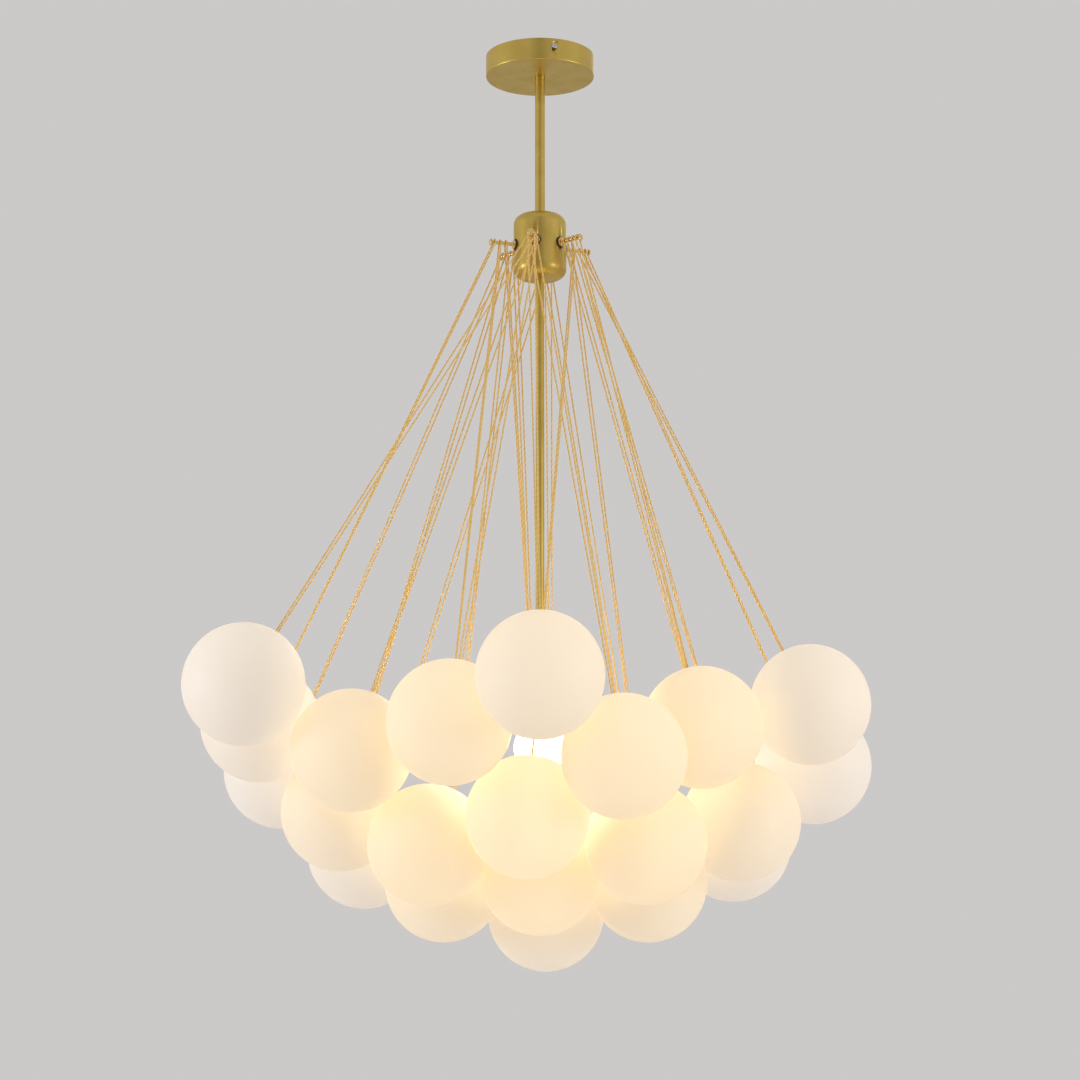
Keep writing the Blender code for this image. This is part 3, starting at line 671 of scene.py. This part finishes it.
WIRE_HOLE_RADIUS = 0.0025
wire_hole_height = (nut_low.z + canopy_low_z + CANOPY_WALL) / 2
wire_way = heading(SCREW_TURN + pi / 2)
stem = tube("stem_tube_upper", UPPER_STEM_RADIUS, STEM_WALL, upper_low.z, upper_high.z)
drill(stem, WIRE_HOLE_RADIUS, UPPER_STEM_RADIUS / 2,
      [(wire_way * UPPER_STEM_RADIUS + np.array([0, 0, wire_hole_height]), wire_way)])
finish_piece(stem, satin_brass, "satin_brass", "root", "upper_stem")
lower = tube("stem_tube_lower", LOWER_STEM_RADIUS, STEM_WALL, lower_low.z, lower_high.z)
finish_piece(lower, satin_brass, "satin_brass", "root", "lower_stem")

# %% Make the hub
HUB_EDGE = 0.012
SOCKET_DEPTH = 0.014
HUB_WIRE_BORE = 0.004
HOOK_STUB_RADIUS = 0.0025
HOOK_STUB_LENGTH = 0.0075
SOCKET_EDGE = 0.0004

lower_socket = LOWER_STEM_RADIUS + FIT_GAP
hub_line = closed_profile(
    (lower_socket + SOCKET_EDGE, hub_low.z),
    bow((HUB_RADIUS - HUB_EDGE, hub_low.z + HUB_EDGE), HUB_EDGE, -pi / 2, 0, 20),
    bow((HUB_RADIUS - HUB_EDGE, hub_high.z - HUB_EDGE), HUB_EDGE, 0, pi / 2, 20),
    (stem_hole + SOCKET_EDGE, hub_high.z), (stem_hole, hub_high.z - SOCKET_EDGE),
    (stem_hole, hub_high.z - SOCKET_DEPTH), (HUB_WIRE_BORE, hub_high.z - SOCKET_DEPTH),
    (HUB_WIRE_BORE, hub_low.z + SOCKET_DEPTH), (lower_socket, hub_low.z + SOCKET_DEPTH),
    (lower_socket, hub_low.z + SOCKET_EDGE))
hub = skin("hub_block", [turned(hub_line, FINE_COLUMNS)], ring=True)
hook_level = np.array([0.0, 0.0, HOOK_HEIGHT])
drill(hub, HOOK_STUB_RADIUS + FIT_GAP, HOOK_STUB_LENGTH + FIT_GAP,
      [(heading(turn) * HUB_RADIUS + hook_level, heading(turn)) for turn in HOOK_TURNS])
finish_piece(hub, satin_brass, "satin_brass", "root", "hub_body")
print("hub:", len(hub.data.polygons), "faces")

# %% [markdown]
# ## Pegs
#
# Each peg is turned in one piece. A boss stands on the hub, a waist eases into the shank, and a round tip keeps
# the loops from slipping off. A near-black ring between the boss and the hub is painted shade: it stands for
# the dark shade round each boss. The ring is a circle carried round a circle, half sunk in the curve of the
# hub.

# %% Make the six pegs
BOSS_RADIUS = 0.0055
BOSS_LENGTH = 0.0040
SHANK_RADIUS = 0.00225
TIP_RADIUS = 0.00425
TIP_LENGTH = 0.0024
LOOP_GAP = 0.0008
LOOP_SLACK = 0.0005
LOOP_TILT = radians(15)
LOOP_RADIUS = SHANK_RADIUS + LOOP_SLACK + CORD_RADIUS
LOOP_STEP = 2 * CORD_RADIUS + 2 * LOOP_RADIUS * sin(LOOP_TILT) + LOOP_GAP
MOST_LOOPS = 5
SHANK_START = HUB_RADIUS + FIT_GAP + BOSS_LENGTH
SHANK_END = SHANK_START + MOST_LOOPS * LOOP_STEP

boss_round = 0.0008
waist = 0.0012
peg_edge = 0.0004
peg_line = profile_of(
    (0, HUB_RADIUS - HOOK_STUB_LENGTH), (HOOK_STUB_RADIUS - peg_edge, HUB_RADIUS - HOOK_STUB_LENGTH),
    (HOOK_STUB_RADIUS, HUB_RADIUS - HOOK_STUB_LENGTH + peg_edge), (HOOK_STUB_RADIUS, HUB_RADIUS + FIT_GAP),
    bow((BOSS_RADIUS - boss_round / 2, HUB_RADIUS + FIT_GAP + boss_round / 2), boss_round / 2, -pi / 2, 0, 4),
    bow((BOSS_RADIUS - boss_round, SHANK_START - BOSS_LENGTH / 2 - boss_round / 2), boss_round, 0, pi / 2, 6),
    bow((SHANK_RADIUS + waist, SHANK_START), waist, -pi / 2, -pi, 8),
    (SHANK_RADIUS, SHANK_END - peg_edge),
    bow((TIP_RADIUS - TIP_LENGTH / 2, SHANK_END + TIP_LENGTH / 2), TIP_LENGTH / 2, -pi / 2, pi / 2, 16),
    (0, SHANK_END + TIP_LENGTH))
# The ring of painted shade where each boss meets the hub.
RING_RADIUS = 0.0060
RING_THICKNESS = 0.0018
ring_line = bow((RING_RADIUS, HUB_RADIUS), RING_THICKNESS / 2, 0, 2 * pi, 12)[:-1]
for number, turn in enumerate(HOOK_TURNS, 1):
    peg = skin(f"peg_{number}", [turned(peg_line, 48, hook_level, heading(turn))])
    finish_piece(peg, polished_gold, "polished_gold", "root", f"cord_hook_{number}")
    # A near-black ring of painted shade round the boss.
    ring = skin(f"rubber_ring_{number}", [turned(ring_line, 48, hook_level, heading(turn))], ring=True)
    ring.data.materials.append(painted_shade_black)
    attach(ring, "root")

# %% [markdown]
# ## The lamp
#
# A spun cup hides the holder's top. The holder grips the lamp by its threaded cap. The globe and the cap are
# separate pieces here, because one is glowing glass and the other is metal.

# %% Make the cup, the holder and the lamp
CUP_WALL = 0.0012
CUP_EDGE = 0.004
CAP_RADIUS = 0.0131
CAP_SHOWN = 0.001
HOLDER_GRIP = 0.025
HOLDER_EDGE = 0.002
CONTACT_RADIUS = 0.0045
CONTACT_HEIGHT = 0.002
NECK_TURN = radians(50)
CAP_PITCH = 0.0036
CAP_THREAD_DEPTH = 0.0006
CAP_PLAIN_LENGTH = 0.003
CAP_ROWS = 80
HOLDER_CAP_GAP = 0.0004

cup_edge = (CUP_RADIUS - CUP_EDGE, cup_high.z - CUP_EDGE)
cup_line = closed_profile(
    (lower_socket, cup_high.z - CUP_WALL),
    bow(cup_edge, CUP_EDGE - CUP_WALL, pi / 2, 0, 8),
    (CUP_RADIUS - CUP_WALL, cup_low.z), (CUP_RADIUS, cup_low.z),
    bow(cup_edge, CUP_EDGE, 0, pi / 2, 8), (lower_socket, cup_high.z))
cup = skin("holder_cup", [turned(cup_line, 96)], ring=True)
finish_piece(cup, satin_brass, "satin_brass", "root", "lamp_cup")

holder_bore = CAP_RADIUS + HOLDER_CAP_GAP
wire_bore = LOWER_STEM_RADIUS - STEM_WALL
bore_end = bulb_high.z + FIT_GAP
holder_line = closed_profile(
    (holder_bore, holder_low.z),
    bow((HOLDER_RADIUS - HOLDER_EDGE, holder_low.z + HOLDER_EDGE), HOLDER_EDGE, -pi / 2, 0, 8),
    bow((HOLDER_RADIUS - HOLDER_EDGE, holder_high.z - HOLDER_EDGE), HOLDER_EDGE, 0, pi / 2, 8),
    (lower_socket, holder_high.z), (lower_socket, holder_high.z - SOCKET_DEPTH),
    (wire_bore, holder_high.z - SOCKET_DEPTH), (wire_bore, bore_end), (holder_bore, bore_end))
holder = skin("holder_body", [turned(holder_line, 96)], ring=True)
finish_piece(holder, holder_plastic, "holder_plastic", "root", "lampholder")

cap_low = bulb_high.z - HOLDER_GRIP - CAP_SHOWN
shoulder = bulb_high.z - CONTACT_HEIGHT
neck_start = (BULB_RADIUS * cos(NECK_TURN), GLOBE_HEIGHT + BULB_RADIUS * sin(NECK_TURN))
neck_steps = np.linspace(0, 1, 13)[1:]
neck_ease = neck_steps ** 2 * (3 - 2 * neck_steps)
cap_root = CAP_RADIUS - CAP_THREAD_DEPTH
neck = np.stack([neck_start[0] + (cap_root - neck_start[0]) * (neck_ease + neck_steps) / 2,
                 neck_start[1] + (cap_low - neck_start[1]) * neck_steps], -1)
globe_line = np.vstack([bow((0, GLOBE_HEIGHT), BULB_RADIUS, -pi / 2, NECK_TURN, 40), neck, (0, cap_low)])
globe_line[0, 0] = 0
globe = skin("lamp_globe", [turned(globe_line, 64)])
finish_piece(globe, lamp_glass, "lamp_glass", "root", "bulb")

thread_low = cap_low + CAP_PLAIN_LENGTH
thread_high = shoulder - CAP_PLAIN_LENGTH
cap_rows = np.linspace(thread_low, thread_high, CAP_ROWS)
cap_line = np.vstack([(0, cap_low + 0.0001), (cap_root, cap_low + 0.0001),
                      np.stack([np.full(CAP_ROWS, cap_root), cap_rows], -1),
                      (CAP_RADIUS - 0.0008, shoulder - 0.0015), (CONTACT_RADIUS + 0.003, shoulder),
                      (CONTACT_RADIUS, shoulder + 0.0004), (CONTACT_RADIUS - 0.0006, bulb_high.z),
                      (0, bulb_high.z)])
cap = skin("lamp_cap", [turned(cap_line, 64, swell=thread_wave(CAP_PITCH, CAP_THREAD_DEPTH, thread_low,
                                                             thread_high))])
finish_piece(cap, plated_steel, "plated_steel", "root")

# %% [markdown]
# ## Bubbles
#
# A bubble is blown in a mould: a round wall three millimetres thick, with a fire-polished hole at the top for
# the cord. Its profile runs up the outside, over the hole's round lip and down the inside. Beside each point
# goes its painted glow, which falls with the distance from the lamp, averaged round the cord as a root mean
# square: for a point at height h and radius r about the cord, and the lamp at height H and radius R, that
# distance is the root of (h - H)^2 + r^2 + R^2.

# %% Make the bubbles
BUBBLE_COLUMNS = 72
# How far the bubbles' painted glow reaches from the lamp, and how fast it falls.
PAINTED_GLOW_REACH = 0.31
PAINTED_GLOW_FALL = 6.0

lip = GLASS_WALL / 2
lip_turn = acos((HOLE_RADIUS + lip) / (BUBBLE_RADIUS - lip))
lip_centre = ((BUBBLE_RADIUS - lip) * cos(lip_turn), (BUBBLE_RADIUS - lip) * sin(lip_turn))
bubble_line = np.vstack([bow((0, 0), BUBBLE_RADIUS, -pi / 2, lip_turn, 44),
                         bow(lip_centre, lip, lip_turn, lip_turn + pi, 8)[1:-1],
                         bow((0, 0), BUBBLE_RADIUS - GLASS_WALL, lip_turn, -pi / 2, 30)])
bubble_line[[0, -1], 0] = 0


def painted_glow_of(line, middle, way):
    """The painted glow, 1 / (1 + (distance / reach)^fall), with the distance averaged round the cord."""
    to_lamp = LAMP - middle
    lamp_height = to_lamp @ way
    lamp_radius_squared = to_lamp @ to_lamp - lamp_height ** 2
    distance = np.sqrt((line[:, 1] - lamp_height) ** 2 + line[:, 0] ** 2 + lamp_radius_squared)
    return 1 / (1 + (distance / PAINTED_GLOW_REACH) ** PAINTED_GLOW_FALL)


for number, (middle, way, loop) in hangs.items():
    grid = turned(bubble_line, BUBBLE_COLUMNS, middle, way)
    # The painted glow of each point, the same all round the cord.
    painted_glow = np.repeat(painted_glow_of(bubble_line, middle, way)[:, None], BUBBLE_COLUMNS, 1)
    bubble = skin(f"glass_bubble_{number:02d}", [grid], values={"painted_glow": [painted_glow]})
    finish_piece(bubble, opal_glass, "opal_glass", f"bubble_{number:02d}", f"bubble_{number:02d}")
print("bubbles:", len(hangs), "with", len(bubble.data.polygons), "faces each")

# %% [markdown]
# ## Cords
#
# A cord is a thin thread folded over its peg, so that two legs run down to each bubble. They are a few
# millimetres apart at the peg and meet at the bubble's hole. First comes the route of the thread: from the
# stopper up one leg, half way round the peg and down the other leg. The thread itself is three strands laid
# round each other, and each strand runs round that route, a third of a turn apart.

# %% Lay the cords
LAY_PITCH = 0.007
RINGS_PER_LAY = 7
STRAND_SIDES = 6
LEG_GAP = 0.0004
STOPPER_RADIUS = 0.0145
STOPPER_THICKNESS = 0.004
STRAND_RADIUS = CORD_RADIUS / (1 + 2 / np.sqrt(3))
LAY_RADIUS = CORD_RADIUS - STRAND_RADIUS

stopper_seat = np.sqrt((BUBBLE_RADIUS - GLASS_WALL) ** 2 - STOPPER_RADIUS ** 2) - 2 * FIT_GAP


def body_of(node):
    """The body that holds a node."""
    return frame["nodes"][node]["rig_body"]


def hook_turn_of(loop):
    """The turn of the peg that a loop sits on: the one whose direction is nearest to the loop's."""
    return max(HOOK_TURNS, key=lambda turn: float(heading(turn) @ loop))


def cord_line(middle, way, loop):
    """The thread's route: the foot of one leg in the stopper, half a turn round the peg in the plane square
    to it, and the foot of the other leg."""
    peg = heading(hook_turn_of(loop))
    up = way - (way @ peg) * peg
    up /= np.linalg.norm(up)
    side = np.cross(peg, up)
    angles = np.linspace(0, pi, 17)
    half_turn = loop + LOOP_RADIUS * (np.cos(angles)[:, None] * side + np.sin(angles)[:, None] * up)
    foot = middle + way * (stopper_seat - STOPPER_THICKNESS / 2)
    aside = side * (CORD_RADIUS + LEG_GAP / 2)
    return np.vstack([foot + aside, half_turn, foot - aside])


def even_steps(points, step):
    """The same route in even steps, read off by the distance run along it, and its corners rounded by
    averaging each point with its neighbours."""
    run = np.concatenate([[0.0], np.cumsum(np.linalg.norm(np.diff(points, axis=0), axis=1))])
    count = int(run[-1] / step) + 1
    spots = np.linspace(0, run[-1], count)
    line = np.stack([np.interp(spots, run, points[:, k]) for k in range(3)], -1)
    for _ in range(3):
        line[1:-1] = (line[:-2] + 2 * line[1:-1] + line[2:]) / 4
    return line


def strands(line, peg_way):
    """Three tubes wound round a route: route + lay radius * (cos a, sin a) for the middle of each strand,
    where the angle a grows by a full turn each pitch, and the same again at the strand's own radius. Both
    are measured from the peg's direction, which no part of a thread runs along."""
    way = np.gradient(line, axis=0)
    way /= np.linalg.norm(way, axis=1, keepdims=True)
    first = peg_way - (way @ peg_way)[:, None] * way
    first /= np.linalg.norm(first, axis=1, keepdims=True)
    second = np.cross(way, first)
    run = np.concatenate([[0.0], np.cumsum(np.linalg.norm(np.diff(line, axis=0), axis=1))])
    around = np.linspace(0, 2 * pi, STRAND_SIDES, endpoint=False)
    grids = []
    for strand in range(3):
        lay = 2 * pi * (run / LAY_PITCH + strand / 3)
        middle = line + LAY_RADIUS * (np.cos(lay)[:, None] * first + np.sin(lay)[:, None] * second)
        spin = lay[:, None] + around
        grid = middle[:, None] + STRAND_RADIUS * (np.cos(spin)[..., None] * first[:, None]
                                                  + np.sin(spin)[..., None] * second[:, None])
        ends = [np.repeat(middle[k][None, None], STRAND_SIDES, 1) for k in (0, -1)]
        grids.append(np.concatenate([ends[0], grid, ends[1]]))
    return grids


for number, (middle, way, loop) in hangs.items():
    route = even_steps(cord_line(middle, way, loop), LAY_PITCH / RINGS_PER_LAY)
    grids = strands(route, heading(hook_turn_of(loop)))
    shades = [np.full(grid.shape[:2], (strand + 0.5) / 3) for strand, grid in enumerate(grids)]
    cord = skin(f"laid_cord_{number:02d}", grids, values={"strand": shades})
    finish_piece(cord, gold_cord, "gold_cord", body_of(f"cord_{number:02d}"), f"cord_{number:02d}")
print("cords:", len(hangs), "with about", len(cord.data.polygons), "faces each")

# %% [markdown]
# A stopper keeps the bubble on its cord: a turned washer that is wider than the hole and sits against the glass
# inside, with a collar that holds both ends of the thread.

# %% Make the stoppers
COLLAR_RADIUS = 0.0042
COLLAR_LENGTH = 0.006
COLLAR_ROUND = 0.0010
WASHER_LOW_ROUND = 0.0015
WASHER_HIGH_ROUND = 0.0008

stopper_low = stopper_seat - STOPPER_THICKNESS
stopper_line = profile_of(
    (0, stopper_low - COLLAR_LENGTH),
    bow((COLLAR_RADIUS - COLLAR_ROUND, stopper_low - COLLAR_LENGTH + COLLAR_ROUND), COLLAR_ROUND,
        -pi / 2, 0, 5),
    (COLLAR_RADIUS, stopper_low),
    bow((STOPPER_RADIUS - WASHER_LOW_ROUND, stopper_low + WASHER_LOW_ROUND), WASHER_LOW_ROUND, -pi / 2, 0, 6),
    bow((STOPPER_RADIUS - WASHER_HIGH_ROUND, stopper_seat - WASHER_HIGH_ROUND), WASHER_HIGH_ROUND,
        0, pi / 2, 5),
    (0.0030, stopper_seat + 0.0006), (0, stopper_seat + 0.0008))
for number, (middle, way, loop) in hangs.items():
    stopper = skin(f"stopper_{number:02d}", [turned(stopper_line, 40, middle, way)])
    finish_piece(stopper, satin_brass, "satin_brass", body_of(f"cord_{number:02d}"))

# %% [markdown]
# ## Light and room
#
# The room is a pale backdrop and a pale floor. A soft lamp stands at either side, lower than the hub, so that
# their reflections lie on the lower round of the hub's sides. A weak one lights the back, and a dark card
# behind the camera gives the stems the dark line that turned metal has in any room.

# %% Light the scene
FLOOR_HEIGHT = -2.3
BACKDROP_COLOUR = (0.60, 0.585, 0.58)
STUDIO_LEVEL = 0.70
FLOOR_COLOUR = (0.68, 0.66, 0.64)
FLOOR_REACH = 30.0
CARD_COLOUR = (0.03, 0.028, 0.025)
CARD_DISTANCE = 5.2
CARD_HALF_WIDTH = 0.8
CARD_LOW = -2.2
CARD_HIGH = 2.6
AIM_DROP = 0.3


def make_world():
    """An even pale light, and the backdrop's own colour wherever the camera, metal or glass sees past the
    object."""
    world = bpy.data.worlds.new("studio")
    world.use_nodes = True
    bpy.context.scene.world = world
    tree = world.node_tree
    light = tree.nodes["Background"]
    light.inputs["Color"].default_value = (0.99, 0.985, 0.99, 1)
    light.inputs["Strength"].default_value = STUDIO_LEVEL
    backdrop = tree.nodes.new("ShaderNodeBackground")
    backdrop.inputs["Color"].default_value = (*BACKDROP_COLOUR, 1)
    rays = tree.nodes.new("ShaderNodeLightPath")
    either = tree.nodes.new("ShaderNodeMath")
    either.operation = "ADD"
    tree.links.new(rays.outputs["Is Camera Ray"], either.inputs[0])
    tree.links.new(rays.outputs["Is Glossy Ray"], either.inputs[1])
    seen = tree.nodes.new("ShaderNodeMath")
    seen.operation = "ADD"
    seen.use_clamp = True
    tree.links.new(either.outputs[0], seen.inputs[0])
    tree.links.new(rays.outputs["Is Transmission Ray"], seen.inputs[1])
    mix = tree.nodes.new("ShaderNodeMixShader")
    tree.links.new(seen.outputs[0], mix.inputs[0])
    tree.links.new(light.outputs[0], mix.inputs[1])
    tree.links.new(backdrop.outputs[0], mix.inputs[2])
    tree.links.new(mix.outputs[0], tree.nodes["World Output"].inputs["Surface"])


def soft_lamp(name, place, width, height, power, colour=(1, 1, 1)):
    """A flat lamp that faces the middle of the chandelier."""
    data = bpy.data.lights.new(name, "AREA")
    data.shape = "RECTANGLE"
    data.size = width
    data.size_y = height
    data.energy = power
    data.color = colour
    lamp = bpy.data.objects.new(name, data)
    lamp.location = place
    aim = Vector((0, 0, HOOK_HEIGHT - AIM_DROP)) - Vector(place)
    lamp.rotation_euler = aim.to_track_quat("-Z", "Y").to_euler()
    bpy.context.collection.objects.link(lamp)
    return lamp


make_world()
soft_lamp("key", (3.3, -1.4, -0.8), 1.2, 1.2, 21.0, (1.0, 0.985, 0.96))
soft_lamp("fill", (-3.4, -0.6, -0.8), 1.0, 1.2, 23.0, (0.93, 0.965, 1.0))
soft_lamp("rim", (0.6, 3.2, 1.2), 2.0, 1.2, 6.0)

spread_data = bpy.data.lights.new("lamp_spread", "POINT")
spread_data.energy = LAMP_SPREAD
spread_data.color = SPREAD_COLOUR
spread_data.shadow_soft_size = float(BULB_RADIUS)
spread_data.use_shadow = False
spread = bpy.data.objects.new("lamp_spread", spread_data)
spread.location = (0.0, 0.0, GLOBE_HEIGHT)
spread.visible_glossy = False
bpy.context.collection.objects.link(spread)


def stage_sheet(name, corners, colour):
    """A flat sheet of the studio with a plain matt finish."""
    mesh = bpy.data.meshes.new(name)
    mesh.from_pydata(corners, [], [(0, 1, 2, 3)])
    sheet = bpy.data.objects.new(name, mesh)
    bpy.context.collection.objects.link(sheet)
    finish, shader, node, link = new_finish(name)
    shader.inputs["Base Color"].default_value = (*colour, 1)
    shader.inputs["Roughness"].default_value = 1.0
    mesh.materials.append(finish)
    return sheet


stage_sheet("floor", [(-FLOOR_REACH, -FLOOR_REACH, FLOOR_HEIGHT), (FLOOR_REACH, -FLOOR_REACH, FLOOR_HEIGHT),
                      (FLOOR_REACH, FLOOR_REACH, FLOOR_HEIGHT), (-FLOOR_REACH, FLOOR_REACH, FLOOR_HEIGHT)],
            FLOOR_COLOUR)
card = stage_sheet("dark_card", [(-CARD_HALF_WIDTH, -CARD_DISTANCE, CARD_LOW),
                                 (CARD_HALF_WIDTH, -CARD_DISTANCE, CARD_LOW),
                                 (CARD_HALF_WIDTH, -CARD_DISTANCE, CARD_HIGH),
                                 (-CARD_HALF_WIDTH, -CARD_DISTANCE, CARD_HIGH)], CARD_COLOUR)
card.visible_camera = False
card.visible_diffuse = False
card.visible_shadow = False

# %% [markdown]
# ## View settings
#
# The view transform is the plain one, so a colour renders about as it is written.

# %% Set the view transform
bpy.context.scene.view_settings.view_transform = "Standard"
